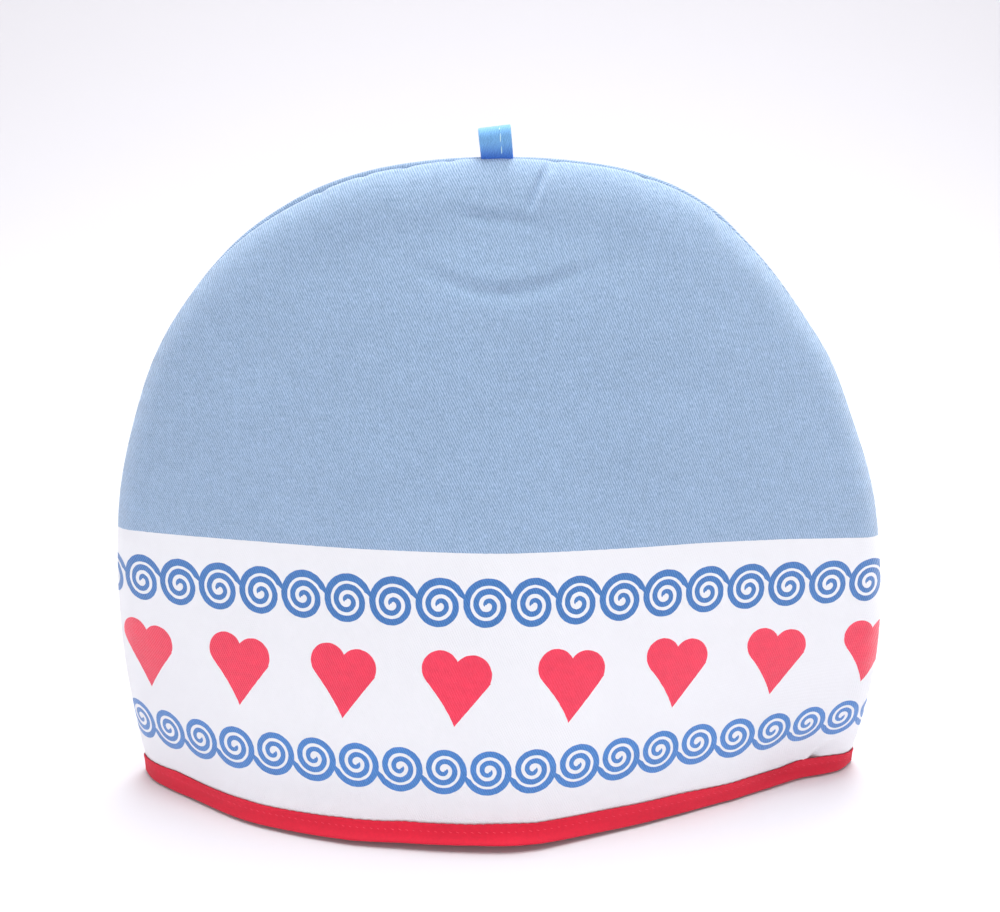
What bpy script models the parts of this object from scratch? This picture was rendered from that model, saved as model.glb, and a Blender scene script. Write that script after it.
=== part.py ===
"""A padded tea cosy standing open on its hem: two dome-shaped panels seamed round the edge,
a bias binding folded round the hem and a folded tape loop caught in the top of the seam.

Metres, +Z up, front facing -Y. The seam stands in an upright plane but for its lowest few
centimetres, which swing back. The origin is under the middle of the hem, on the surface
that the cosy stands on.
"""
import math
from collections import namedtuple
from functools import lru_cache

import bmesh
import bpy
import numpy as np

# Every size below is in millimetres.
MM = 0.001

# The seam plane stands a little in front of the middle of the hem.
SEAM_PLACE = -3.7

# Seam outline, a row for each height: how far the edge of a panel reaches to each side.
OUTLINE_COLUMNS = ("height", "left", "right")
OUTLINE = (
    (0, 159.6, 160.2),
    (30, 161.1, 161.8),
    (60, 162.3, 163.0),
    (85, 162.8, 162.9),
    (110, 161.4, 160.3),
    (140, 156.8, 153.9),
    (170, 147.6, 142.3),
    (195, 137.0, 130.5),
    (215, 124.2, 116.6),
    (230, 111.7, 104.4),
    (242, 98.9, 92.6),
    (252, 84.2, 81.2),
    (260, 68.4, 67.2),
    (266, 49.5, 49.5),
    (269.5, 28.5, 28.5),
)
TOP_HEIGHT = 270.9

# Level sections, a row for each height: how far the front stands out from the seam at its
# middle, then its share of that at six places between the left seam (-1) and the right (1).
SECTION_COLUMNS = ("height", "depth", -0.85, -0.6, -0.3, 0.3, 0.6, 0.85)
SECTIONS = (
    (0, 52.0, 0.26, 0.695, 0.925, 0.79, 0.435, 0.065),
    (12, 49.5, 0.28, 0.69, 0.925, 0.785, 0.44, 0.075),
    (35, 45.5, 0.32, 0.68, 0.925, 0.79, 0.45, 0.16),
    (66, 40.0, 0.32, 0.65, 0.91, 0.785, 0.45, 0.17),
    (108, 34.5, 0.28, 0.61, 0.895, 0.80, 0.48, 0.20),
    (140, 29.5, 0.24, 0.585, 0.895, 0.83, 0.525, 0.22),
    (180, 23.0, 0.23, 0.565, 0.875, 0.885, 0.585, 0.23),
    (220, 16.0, 0.21, 0.52, 0.82, 0.975, 0.69, 0.27),
    (250, 8.5, 0.21, 0.51, 0.81, 1.02, 0.78, 0.33),
    (271, 4.2, 0.28, 0.64, 0.91, 0.91, 0.64, 0.28),
)
BACK_DEPTH_SHARE = 0.94

# Soft troughs in the front: place of the middle, turn from level, size and depth.
Trough = namedtuple("Trough", "x z turn_deg half_length half_width depth")
TROUGHS = {
    "fold_by_loop": Trough(13.0, 262.0, 68.0, 11.0, 3.0, 1.4),
    "dimple": Trough(7.0, 246.5, 3.0, 22.0, 6.0, 1.0),
    "arc_left": Trough(-18.0, 224.5, -14.0, 26.0, 7.0, 1.1),
    "arc_right": Trough(26.0, 225.0, 12.0, 28.0, 7.0, 1.1),
    "corner_dent": Trough(136.0, 21.0, -8.0, 14.0, 6.0, 1.4),
}
TROUGH_EDGE_FADE = 14.0

# Padding and seam
PAD_THICKNESS = 6.5
PINCHED_THICKNESS = 3.2
PINCH_TOP = 10.5
PINCH_FADE = 18.0
BINDING_SINK = 1.2
NOSE_DEPTH = 2.2
SHOULDER_DEPTH = 4.0
SHOULDER_WIDTH = 7.0
HALF_SEAM_GAP = 0.15
# Across the rounded edge from the outer cloth to the inner: inset from the outline, depth
# and the height of its foot.
RimStep = namedtuple("RimStep", "inset depth foot")
RIM = (
    RimStep(0.0, NOSE_DEPTH, 2.0),
    RimStep(0.5, 1.0, 1.35),
    RimStep(1.8, HALF_SEAM_GAP, 1.2),
    RimStep(4.0, HALF_SEAM_GAP, 1.35),
    RimStep(6.0, HALF_SEAM_GAP, 2.0),
)

# The lowest part of the seam swings back, more on the right and at both corners.
SWING_MIDDLE = 5.4
SWING_SIDE = 3.6
SWING_CORNERS = 4.0
SWING_REACH = 161.0
SWING_HEIGHT = 70.0

# Grids
FRONT_GRID = (36, 24)
BACK_GRID = (30, 20)
EDGE_CROWDING = 0.6
CORNER_HEIGHT = 215.0
GRID_TOLERANCE = 0.001

# Binding: a strip of cloth folded round the hem, clear of the panels all round.
BINDING_CLEARANCE = 0.3
BINDING_CLOTH = 0.9
BINDING_ROUNDING = 0.27
BINDING_HEIGHT = 9.0
BINDING_ARC_STEPS = 56
BINDING_NIB = 0.2
PLAN_STEP = 0.02
SLOPE_STEP = 0.5
REACH_STEP = 0.1
WELD_DISTANCE = 0.01

# Loop
TAPE_WIDTH = 11.3
TAPE_THICKNESS = 1.1
TAPE_HALF_GAP = 0.2
LOOP_FOOT = 266.0
LOOP_NECK = 271.0
LOOP_BULGE_HEIGHT = 277.1
LOOP_BULGE = 4.1
LOOP_FOOT_X = -0.8
LOOP_TOP_SHIFT = -1.7
LOOP_TOP_SLANT = 0.12
LOOP_STEPS = 10
TAPE_COLUMNS = 4
POCKET_CLEARANCE = 0.3
POCKET_FLOOR = 265.6
POCKET_TOP = 276.0


def smooth_step(value):
    value = min(max(value, 0.0), 1.0)
    return value * value * (3.0 - 2.0 * value)


def smooth_curve(points, steps_each=12):
    """A dense curve through the points, its tangents taken from the neighbours of each."""
    points = np.array(points, dtype=float)
    spans = np.linalg.norm(np.diff(points, axis=0), axis=1)
    tangents = np.zeros_like(points)
    for i in range(1, len(points) - 1):
        before = (points[i] - points[i - 1]) / spans[i - 1]
        after = (points[i + 1] - points[i]) / spans[i]
        weight = spans[i - 1] / (spans[i - 1] + spans[i])
        tangents[i] = before * (1.0 - weight) + after * weight
    tangents[0] = (points[1] - points[0]) / spans[0]
    tangents[-1] = (points[-1] - points[-2]) / spans[-1]
    dense = []
    for i in range(len(points) - 1):
        for step in range(steps_each):
            t = step / steps_each
            leaving = t * (1.0 - t) ** 2
            arriving = t * t * (t - 1.0)
            blend = t * t * (3.0 - 2.0 * t)
            between = points[i] * (1.0 - blend) + points[i + 1] * blend
            dense.append(between + spans[i] * (tangents[i] * leaving + tangents[i + 1] * arriving))
    dense.append(points[-1])
    return np.array(dense)


def outline_curve():
    """The seam outline from the left hem corner over the top to the right hem corner (x, z)."""
    rows = [dict(zip(OUTLINE_COLUMNS, row)) for row in OUTLINE]
    left = [(-row["left"], row["height"]) for row in rows]
    right = [(row["right"], row["height"]) for row in reversed(rows)]
    return smooth_curve(left + [(0.0, TOP_HEIGHT)] + right)


def inset_curve(curve, inset):
    """The curve moved inwards, square to itself; the outline runs clockwise seen from the front."""
    along = np.gradient(curve, axis=0)
    along /= np.linalg.norm(along, axis=1)[:, None]
    inwards = np.column_stack((along[:, 1], -along[:, 0]))
    return curve + inwards * inset


def point_at(curve, share):
    """The point at a share of a curve's length."""
    lengths = np.concatenate(([0.0], np.cumsum(np.linalg.norm(np.diff(curve, axis=0), axis=1))))
    at = share * lengths[-1]
    return np.array([np.interp(at, lengths, curve[:, 0]), np.interp(at, lengths, curve[:, 1])])


class Outline:
    """The seam outline at one inset, with what a panel's grid and depth read from it."""

    def __init__(self, inset):
        self.curve = inset_curve(outline_curve(), inset)
        top = int(np.argmax(self.curve[:, 1]))
        self.left = self.curve[: top + 1]
        self.right = self.curve[top:][::-1]

    def half_width_and_middle(self, z):
        left = np.interp(z, self.left[:, 1], self.left[:, 0])
        right = np.interp(z, self.right[:, 1], self.right[:, 0])
        return max((right - left) / 2.0, 1.0), (right + left) / 2.0

    def distance(self, x, z):
        return float(np.min(np.hypot(self.curve[:, 0] - x, self.curve[:, 1] - z)))

    def patch_sides(self, foot):
        """The left side, the top and the right side of the four-sided patch of a panel."""
        sides = []
        for branch in (self.left, self.right):
            ends = [np.interp(height, branch[:, 1], branch[:, 0]) for height in (foot, CORNER_HEIGHT)]
            inside = branch[(branch[:, 1] > foot) & (branch[:, 1] < CORNER_HEIGHT)]
            sides.append(np.vstack(([ends[0], foot], inside, [ends[1], CORNER_HEIGHT])))
        over = self.curve[self.curve[:, 1] > CORNER_HEIGHT]
        top = np.vstack((sides[0][-1], over, sides[1][-1]))
        return sides[0], top, sides[1]


def patch_point(sides, across, up):
    """A point of the patch that is blended from its four sides (x, z)."""
    left_side, top_side, right_side = sides
    left = point_at(left_side, up)
    right = point_at(right_side, up)
    top = point_at(top_side, across)
    foot = left_side[0] * (1.0 - across) + right_side[0] * across
    head = left_side[-1] * (1.0 - across) + right_side[-1] * across
    corners = foot * (1.0 - up) + head * up
    return foot * (1.0 - up) + top * up + left * (1.0 - across) + right * across - corners


def crowd_ends(share):
    """Moves grid lines towards both ends."""
    return share - EDGE_CROWDING * math.sin(2.0 * math.pi * share) / (2.0 * math.pi)


def trough_depth(x, z, to_seam):
    """How far the soft troughs push the front in at a point."""
    total = 0.0
    for trough in TROUGHS.values():
        turn = math.radians(trough.turn_deg)
        along = (x - trough.x) * math.cos(turn) + (z - trough.z) * math.sin(turn)
        aside = (z - trough.z) * math.cos(turn) - (x - trough.x) * math.sin(turn)
        fall = (along / trough.half_length) ** 2 + (aside / trough.half_width) ** 2
        total += trough.depth * math.exp(-fall)
    return total * smooth_step(to_seam / TROUGH_EDGE_FADE)


def pinch(z):
    """1 inside the binding, fading to 0 above it."""
    return 1.0 - smooth_step((z - PINCH_TOP) / PINCH_FADE)


OUTER = Outline(0.0)
INNER = Outline(RIM[-1].inset)
SECTIONS_BY_HEIGHT = smooth_curve(SECTIONS)


def section_value(z, name):
    """A value of the section table at a height, read between its rows."""
    heights = SECTIONS_BY_HEIGHT[:, SECTION_COLUMNS.index("height")]
    return float(np.interp(z, heights, SECTIONS_BY_HEIGHT[:, SECTION_COLUMNS.index(name)]))


@lru_cache(maxsize=None)
def front_section(z):
    """The front's level section at a height, as a curve of (side, share of the depth)."""
    points = [(-1.0, 0.0), (0.0, 1.0), (1.0, 0.0)]
    points += [(side, section_value(z, side)) for side in SECTION_COLUMNS[2:]]
    return smooth_curve(sorted(points))


class Panel:
    """The two faces of a panel as depths from the seam plane, before the seam's swing."""

    def __init__(self, is_front):
        self.is_front = is_front
        self.sign = -1.0 if is_front else 1.0

    def depth(self, z):
        return section_value(z, "depth") * (1.0 if self.is_front else BACK_DEPTH_SHARE)

    def bow(self, side, z):
        """Share of the depth at a side from -1 to 1; the back is a plain bow."""
        side = min(max(side, -1.0), 1.0)
        if not self.is_front:
            return 1.0 - side * side
        section = front_section(z)
        return float(np.interp(side, section[:, 0], section[:, 1]))

    def troughs(self, x, z):
        return trough_depth(x, z, OUTER.distance(x, z)) if self.is_front else 0.0

    def outer(self, x, z):
        half, middle = OUTER.half_width_and_middle(z)
        from_seam = min(OUTER.distance(x, z) / SHOULDER_WIDTH, 1.0)
        rounding = math.sqrt(1.0 - (1.0 - from_seam) ** 2)
        shoulder = NOSE_DEPTH + (SHOULDER_DEPTH - NOSE_DEPTH) * rounding
        rise = max(self.depth(z) - SHOULDER_DEPTH - BINDING_SINK * pinch(z), 0.0)
        return shoulder + rise * self.bow((x - middle) / half, z) - self.troughs(x, z)

    def inner(self, x, z):
        half, middle = INNER.half_width_and_middle(z)
        squeeze = pinch(z)
        thickness = PAD_THICKNESS * (1.0 - squeeze) + PINCHED_THICKNESS * squeeze
        rise = self.depth(z) - thickness - BINDING_SINK * squeeze
        return max(rise * self.bow((x - middle) / half, z) - self.troughs(x, z), HALF_SEAM_GAP)

    def inner_cleared(self, x, z, clearance):
        """The inner depth less a clearance that is measured square to the cloth."""
        slope = (self.inner(x + SLOPE_STEP, z) - self.inner(x - SLOPE_STEP, z)) / (2.0 * SLOPE_STEP)
        return self.inner(x, z) - clearance * math.hypot(1.0, slope)


PANELS = (Panel(True), Panel(False))


def placed(x, y, z):
    """From depths about the seam plane to the finished place; the lowest stretch swings back."""
    fade = max(1.0 - z / SWING_HEIGHT, 0.0) ** 2
    side = x / SWING_REACH
    swing = SWING_MIDDLE + SWING_SIDE * side + SWING_CORNERS * side**8
    return x * MM, (y + swing * fade + SEAM_PLACE) * MM, z * MM


def parts_collection(name):
    collection = bpy.data.collections.new(name)
    bpy.context.scene.collection.children.link(collection)
    return collection


def cloth_material(name, colour, roughness):
    material = bpy.data.materials.new(name)
    material.use_nodes = True
    shader = material.node_tree.nodes["Principled BSDF"]
    shader.inputs["Base Color"].default_value = (*colour, 1.0)
    shader.inputs["Roughness"].default_value = roughness
    shader.inputs["Metallic"].default_value = 0.0
    return material


def object_from(bm, name, collection, material):
    """A smooth-shaded object made from a finished bmesh."""
    bmesh.ops.recalc_face_normals(bm, faces=bm.faces[:])
    mesh = bpy.data.meshes.new(name)
    bm.to_mesh(mesh)
    bm.free()
    mesh.shade_smooth()
    mesh.materials.append(material)
    made = bpy.data.objects.new(name, mesh)
    collection.objects.link(made)
    return made


def grid_with_shares(columns, rows):
    """A flat grid whose points carry their share across and up."""
    bm = bmesh.new()
    bmesh.ops.create_grid(bm, x_segments=columns, y_segments=rows, size=1.0)
    across = bm.verts.layers.float.new("across")
    up = bm.verts.layers.float.new("up")
    for vert in bm.verts:
        vert[across] = (vert.co.x + 1.0) / 2.0
        vert[up] = (vert.co.y + 1.0) / 2.0
    return bm, across, up


def panel_object(name, panel, grid, collection, material):
    """A padded panel: the outer cloth's grid drawn through to the inner cloth, round its rim."""
    bm, across, up = grid_with_shares(*grid)
    through = bm.verts.layers.float.new("through")
    drawn = bmesh.ops.extrude_face_region(bm, geom=bm.faces[:], use_keep_orig=True)
    for item in drawn["geom"]:
        if isinstance(item, bmesh.types.BMVert):
            item[through] = 1.0
    rim = [edge for edge in bm.edges if edge.verts[0][through] != edge.verts[1][through]]
    bmesh.ops.subdivide_edges(bm, edges=rim, cuts=len(RIM) - 2)
    last = len(RIM) - 1
    patches = [Outline(step.inset).patch_sides(step.foot) for step in RIM]
    for vert in bm.verts:
        layer = round(vert[through] * last)
        x, z = patch_point(patches[layer], crowd_ends(vert[across]), crowd_ends(vert[up]))
        to_seam = min(vert[across], 1.0 - vert[across], 1.0 - vert[up])
        if to_seam < GRID_TOLERANCE:
            y = RIM[layer].depth
        elif layer == 0:
            y = panel.outer(x, z)
        elif layer == last:
            y = panel.inner(x, z)
        else:
            share = layer / last
            y = panel.outer(x, z) * (1.0 - share) + panel.inner(x, z) * share
        vert.co = placed(x, panel.sign * y, z)
    return object_from(bm, name, collection, material)


def is_corner(angle):
    return math.isclose(abs(angle), math.pi / 2.0)


def outer_wall(panel, angle, z, clearance):
    """A point of the closed plan curve outside both panels, moved out by a clearance."""
    half, middle = OUTER.half_width_and_middle(z)

    def plan(turn):
        turn = min(max(turn, -math.pi / 2.0), math.pi / 2.0)
        x = middle + half * math.sin(turn)
        return x, panel.sign * panel.outer(x, z)

    x, y = plan(angle)
    if is_corner(angle):
        return x + math.copysign(clearance, angle), y
    x_before, y_before = plan(angle - PLAN_STEP)
    x_after, y_after = plan(angle + PLAN_STEP)
    run = x_after - x_before
    rise = y_after - y_before
    length = math.hypot(run, rise)
    return x - panel.sign * rise / length * clearance, y + panel.sign * run / length * clearance


@lru_cache(maxsize=None)
def inner_reach(z, clearance):
    """How far to the left and right both inner walls stay clear of the seam plane."""
    half, middle = INNER.half_width_and_middle(z)
    reaches = []
    for direction in (-1.0, 1.0):
        reach = half
        while any(panel.inner_cleared(middle + direction * reach, z, clearance) < BINDING_NIB
                  for panel in PANELS):
            reach -= REACH_STEP
        reaches.append(reach)
    return reaches


def inner_wall(panel, angle, z, clearance):
    """A point of the closed plan curve inside both panels, moved in by a clearance."""
    _half, middle = INNER.half_width_and_middle(z)
    left, right = inner_reach(z, clearance)
    x = middle + (right if angle > 0.0 else left) * math.sin(angle)
    y = BINDING_NIB if is_corner(angle) else panel.inner_cleared(x, z, clearance)
    return x, panel.sign * y


def binding_section():
    """The folded strip's cross-section, down the outside and up the inside: wall, clearance, height."""
    near = BINDING_CLEARANCE
    far = near + BINDING_CLOTH
    shoulder = BINDING_HEIGHT - 2.0 * BINDING_ROUNDING
    wall = (
        (near, BINDING_CLOTH),
        (near, shoulder),
        (near + BINDING_ROUNDING, BINDING_HEIGHT),
        (far - BINDING_ROUNDING, BINDING_HEIGHT),
        (far, shoulder),
        (far, BINDING_HEIGHT / 2.0),
        (far, 3.0 * BINDING_ROUNDING),
        (far - 2.0 * BINDING_ROUNDING, 0.0),
    )
    outside = [(outer_wall, clearance, height) for clearance, height in wall]
    inside = [(inner_wall, clearance, height) for clearance, height in reversed(wall)]
    return outside + inside


def hem_binding(collection, material):
    """The bias strip folded round the hem of both panels, as one closed ring."""
    section = binding_section()
    turns = []
    for panel in PANELS:
        for step in range(BINDING_ARC_STEPS + 1):
            turns.append((panel, -panel.sign * (math.pi * step / BINDING_ARC_STEPS - math.pi / 2.0)))
    bm, across, up = grid_with_shares(len(turns), len(section))
    for vert in bm.verts:
        panel, angle = turns[round(vert[across] * len(turns)) % len(turns)]
        wall, clearance, z = section[round(vert[up] * len(section)) % len(section)]
        x, y = wall(panel, angle, z, clearance)
        vert.co = placed(x, y, z)
    bmesh.ops.remove_doubles(bm, verts=bm.verts[:], dist=WELD_DISTANCE * MM)
    return object_from(bm, "hem_binding", collection, material)


def loop_path():
    """The tape's middle line seen from the side (y, z), up the front leg and down the back."""
    half = TAPE_HALF_GAP + TAPE_THICKNESS / 2.0
    front = [(-half, LOOP_FOOT), (-half, (LOOP_FOOT + LOOP_NECK) / 2.0), (-half, LOOP_NECK)]
    front.append((-(half + LOOP_BULGE) / 2.0, (LOOP_NECK + LOOP_BULGE_HEIGHT) / 2.0))
    over = []
    for step in range(LOOP_STEPS + 1):
        angle = math.pi * step / LOOP_STEPS
        over.append((-LOOP_BULGE * math.cos(angle), LOOP_BULGE_HEIGHT + LOOP_BULGE * math.sin(angle)))
    back = [(-y, z) for y, z in reversed(front)]
    return smooth_curve(front + over + back, steps_each=2)


def hanging_loop(collection, material):
    """A tape folded in half, standing in the top of the seam and leaning a little to the left."""
    path = loop_path()
    bm, across, up = grid_with_shares(TAPE_COLUMNS, len(path) - 1)
    top = path[:, 1].max()
    for vert in bm.verts:
        y, z = path[round(vert[up] * (len(path) - 1))]
        aside = (vert[across] - 0.5) * TAPE_WIDTH
        rise = max(z - LOOP_NECK, 0.0) / (top - LOOP_NECK)
        x = LOOP_FOOT_X + aside + LOOP_TOP_SHIFT * rise
        vert.co = placed(x, y, z + LOOP_TOP_SLANT * aside * rise)
    made = object_from(bm, "hanging_loop", collection, material)
    thicken = made.modifiers.new("tape_thickness", "SOLIDIFY")
    thicken.thickness = TAPE_THICKNESS * MM
    thicken.offset = 0.0
    thicken.use_even_offset = True
    return made


def loop_pocket(collection):
    """The room that the tape's two ends take up between the panels."""
    width = TAPE_WIDTH + 2.0 * POCKET_CLEARANCE
    depth = 2.0 * (TAPE_HALF_GAP + TAPE_THICKNESS + POCKET_CLEARANCE)
    height = POCKET_TOP - POCKET_FLOOR
    bm = bmesh.new()
    bmesh.ops.create_cube(bm, size=1.0)
    bmesh.ops.scale(bm, vec=(width * MM, depth * MM, height * MM), verts=bm.verts[:])
    middle = placed(LOOP_FOOT_X, 0.0, (POCKET_FLOOR + POCKET_TOP) / 2.0)
    bmesh.ops.translate(bm, vec=middle, verts=bm.verts[:])
    mesh = bpy.data.meshes.new("loop_pocket")
    bm.to_mesh(mesh)
    bm.free()
    cutter = bpy.data.objects.new("loop_pocket", mesh)
    cutter.hide_render = True
    cutter.display_type = "WIRE"
    collection.objects.link(cutter)
    return cutter


def cut_pocket(panel, cutter):
    cut = panel.modifiers.new("loop_pocket", "BOOLEAN")
    cut.operation = "DIFFERENCE"
    cut.solver = "EXACT"
    cut.object = cutter


def build():
    for old in list(bpy.data.objects):
        bpy.data.objects.remove(old, do_unlink=True)
    pieces = parts_collection("tea_cosy")
    cutters = parts_collection("cutters")
    printed = cloth_material("printed_cotton", (0.37, 0.51, 0.71), 0.85)
    red = cloth_material("red_binding", (0.68, 0.05, 0.09), 0.8)
    blue = cloth_material("blue_tape", (0.12, 0.30, 0.72), 0.8)
    front_side, back_side = PANELS
    front = panel_object("front_panel", front_side, FRONT_GRID, pieces, printed)
    back = panel_object("back_panel", back_side, BACK_GRID, pieces, printed)
    hem_binding(pieces, red)
    hanging_loop(pieces, blue)
    cutter = loop_pocket(cutters)
    for panel in (front, back):
        cut_pocket(panel, cutter)


build()
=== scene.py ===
import math

import bmesh
import bpy
import numpy as np
from mathutils import Matrix, Vector, kdtree


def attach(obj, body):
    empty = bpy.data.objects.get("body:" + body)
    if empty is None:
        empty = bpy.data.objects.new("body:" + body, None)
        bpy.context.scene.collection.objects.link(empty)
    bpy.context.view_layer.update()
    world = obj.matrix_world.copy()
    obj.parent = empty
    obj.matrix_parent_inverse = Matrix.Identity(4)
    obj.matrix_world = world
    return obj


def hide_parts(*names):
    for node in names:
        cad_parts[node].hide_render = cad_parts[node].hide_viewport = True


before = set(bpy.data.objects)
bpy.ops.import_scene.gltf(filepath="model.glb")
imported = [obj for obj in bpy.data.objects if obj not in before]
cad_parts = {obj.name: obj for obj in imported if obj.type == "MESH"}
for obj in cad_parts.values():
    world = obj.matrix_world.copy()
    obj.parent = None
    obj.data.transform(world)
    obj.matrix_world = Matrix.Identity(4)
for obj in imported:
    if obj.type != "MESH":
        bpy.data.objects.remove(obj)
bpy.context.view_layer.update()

mm = 0.001  # the sizes below are in millimetres

# The cut and the stuffed shape of the cosy
cosy = {
    "seamPlace": -3.7,          # the seam stands this far from the middle of the hem
    "topHeight": 270.9,
    "backDepthShare": 0.94,
    "shoulderDepth": 4.0,       # half of the padded edge, and how far in it rounds off
    "shoulderWidth": 10.0,
    "shoulderCurve": 2.8,
    "noseDepth": 0.9,
    "fullness": 1.25,           # the pad is fullest this far below the top seam
    "fullnessPlace": 15.0,
    "fullnessReach": 9.0,
    "fullnessPower": 4,         # and only where the seam faces up
    "padThickness": 6.5,
    "pinchedThickness": 3.2,    # inside the binding
    "pinchTop": 10.5,
    "pinchFade": 18.0,
    "bindingSink": 0.7,
    "leastInside": 0.15,        # from the plane of the seam to the inner cloth
    "cornerHeight": 215.0,      # where the grid of a panel turns from its side to its top
    "swingMiddle": 5.4,         # the lowest part of the seam swings back
    "swingSide": 3.6,
    "swingCorners": 4.0,
    "swingReach": 161.0,
    "swingHeight": 70.0,
}
outline = (  # height, and how far the seam reaches to the left and to the right
    (0, 161.4, 162.4),
    (30, 162.8, 163.4),
    (60, 163.8, 164.3),
    (85, 163.4, 163.5),
    (110, 161.4, 160.3),
    (140, 156.8, 153.9),
    (170, 147.6, 142.3),
    (195, 137.0, 130.5),
    (215, 124.2, 116.6),
    (230, 111.7, 104.4),
    (242, 98.9, 92.6),
    (252, 84.2, 81.2),
    (260, 68.4, 67.2),
    (266, 49.5, 49.5),
    (269.5, 28.5, 28.5),
)
sectionPlaces = (-0.85, -0.6, -0.3, 0.3, 0.6, 0.85)  # from the left seam, -1, to the right one
sections = (  # height, the front's depth, and its share at each place
    (0, 52.0, 0.26, 0.695, 0.925, 0.79, 0.435, 0.065),
    (12, 49.5, 0.28, 0.69, 0.925, 0.785, 0.44, 0.075),
    (35, 45.5, 0.32, 0.68, 0.925, 0.79, 0.45, 0.16),
    (66, 40.0, 0.32, 0.65, 0.91, 0.785, 0.45, 0.17),
    (108, 34.5, 0.28, 0.61, 0.895, 0.80, 0.48, 0.20),
    (140, 29.5, 0.24, 0.585, 0.895, 0.83, 0.525, 0.22),
    (180, 23.0, 0.23, 0.565, 0.875, 0.885, 0.585, 0.23),
    (220, 16.0, 0.21, 0.52, 0.82, 0.975, 0.69, 0.27),
    (250, 8.5, 0.21, 0.51, 0.81, 1.02, 0.78, 0.33),
    (271, 4.2, 0.28, 0.64, 0.91, 0.91, 0.64, 0.28),
)


def smoothStep(value):
    value = np.clip(value, 0.0, 1.0)
    return value * value * (3.0 - 2.0 * value)


def smoothCurve(points, stepsEach=12):  # through the points, tangents from their neighbours
    points = np.array(points, dtype=float)
    spans = np.linalg.norm(np.diff(points, axis=0), axis=1)
    tangents = np.zeros_like(points)
    for i in range(1, len(points) - 1):
        before = (points[i] - points[i - 1]) / spans[i - 1]
        after = (points[i + 1] - points[i]) / spans[i]
        weight = spans[i - 1] / (spans[i - 1] + spans[i])
        tangents[i] = before * (1.0 - weight) + after * weight
    tangents[0] = (points[1] - points[0]) / spans[0]
    tangents[-1] = (points[-1] - points[-2]) / spans[-1]
    t = (np.arange(stepsEach) / stepsEach)[:, None]
    blend = t * t * (3.0 - 2.0 * t)
    dense = []
    for i in range(len(points) - 1):
        between = points[i] * (1.0 - blend) + points[i + 1] * blend
        bend = tangents[i] * t * (1.0 - t) ** 2 + tangents[i + 1] * t * t * (t - 1.0)
        dense.append(between + spans[i] * bend)
    dense.append(points[-1:])
    return np.vstack(dense)


def lengthsAlong(path):  # from its start to each point
    steps = np.linalg.norm(np.diff(path, axis=0), axis=1)
    return np.concatenate(([0.0], np.cumsum(steps)))


def tableValue(table, row, column):  # read between its rows and columns
    i = np.minimum(row.astype(int), table.shape[0] - 2)
    j = np.minimum(column.astype(int), table.shape[1] - 2)
    up = row - i
    over = column - j
    low = table[i, j] * (1.0 - over) + table[i, j + 1] * over
    high = table[i + 1, j] * (1.0 - over) + table[i + 1, j + 1] * over
    return low * (1.0 - up) + high * up


def softNoise(x, z, size, seed):  # smooth, from -1 to 1, the same on every run
    column = np.floor(x / size)
    row = np.floor(z / size)
    over = smoothStep(x / size - column)
    up = smoothStep(z / size - row)

    def corner(i, j):
        mixed = np.sin((column + i) * 127.1 + (row + j) * 311.7 + seed * 74.7) * 43758.5453
        return 2.0 * (mixed - np.floor(mixed)) - 1.0

    low = corner(0, 0) * (1.0 - over) + corner(1, 0) * over
    high = corner(0, 1) * (1.0 - over) + corner(1, 1) * over
    return low * (1.0 - up) + high * up


def softWave(along, amount, size, seed):  # the same noise along a line
    return amount * softNoise(along, np.zeros_like(along), size, seed)


class Outline:  # the seam line at one inset
    def __init__(self, inset, stepsEach=12):
        leftSide = [(-left, height) for height, left, right in outline]
        rightSide = [(right, height) for height, left, right in reversed(outline)]
        curve = smoothCurve(leftSide + [(0.0, cosy["topHeight"])] + rightSide, stepsEach)
        along = np.gradient(curve, axis=0)
        along /= np.linalg.norm(along, axis=1)[:, None]
        self.inwards = np.column_stack((along[:, 1], -along[:, 0]))
        self.curve = curve + self.inwards * inset
        top = int(np.argmax(self.curve[:, 1]))
        self.left = self.curve[:top + 1]
        self.right = self.curve[top:][::-1]

    def halfWidthAndMiddle(self, z):
        left = np.interp(z, self.left[:, 1], self.left[:, 0])
        right = np.interp(z, self.right[:, 1], self.right[:, 0])
        return np.maximum((right - left) / 2.0, 1.0), (right + left) / 2.0

    def patchSides(self, foot):
        corner = cosy["cornerHeight"]
        sides = []
        for branch in (self.left, self.right):
            ends = [np.interp(height, branch[:, 1], branch[:, 0]) for height in (foot, corner)]
            inside = branch[(branch[:, 1] > foot) & (branch[:, 1] < corner)]
            sides.append(np.vstack(([ends[0], foot], inside, [ends[1], corner])))
        over = self.curve[self.curve[:, 1] > corner]
        return sides[0], np.vstack((sides[0][-1], over, sides[1][-1])), sides[1]


class SeamFinder:  # distance to the seam line, place along it and its outward direction
    def __init__(self):
        self.line = Outline(0.0, stepsEach=120)
        self.lengths = lengthsAlong(self.line.curve)
        self.tree = kdtree.KDTree(len(self.line.curve))
        for i, (x, z) in enumerate(self.line.curve):
            self.tree.insert((x, 0.0, z), i)
        self.tree.balance()

    def find(self, x, z):
        found = [self.tree.find((a, 0.0, b)) for a, b in zip(x, z)]
        index = np.array([item[1] for item in found])
        distance = np.array([item[2] for item in found])
        return distance, self.lengths[index], -self.line.inwards[index]


def pointsAt(curve, shares):
    lengths = lengthsAlong(curve)
    at = shares * lengths[-1]
    return np.column_stack((np.interp(at, lengths, curve[:, 0]), np.interp(at, lengths, curve[:, 1])))


def patchPoints(sides, across, up):  # a patch blended from its four sides
    leftSide, topSide, rightSide = sides
    a = across[:, None]
    b = up[:, None]
    head = leftSide[-1] * (1.0 - a) + rightSide[-1] * a
    ruled = pointsAt(leftSide, up) * (1.0 - a) + pointsAt(rightSide, up) * a
    return pointsAt(topSide, across) * b + ruled - head * b


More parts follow.
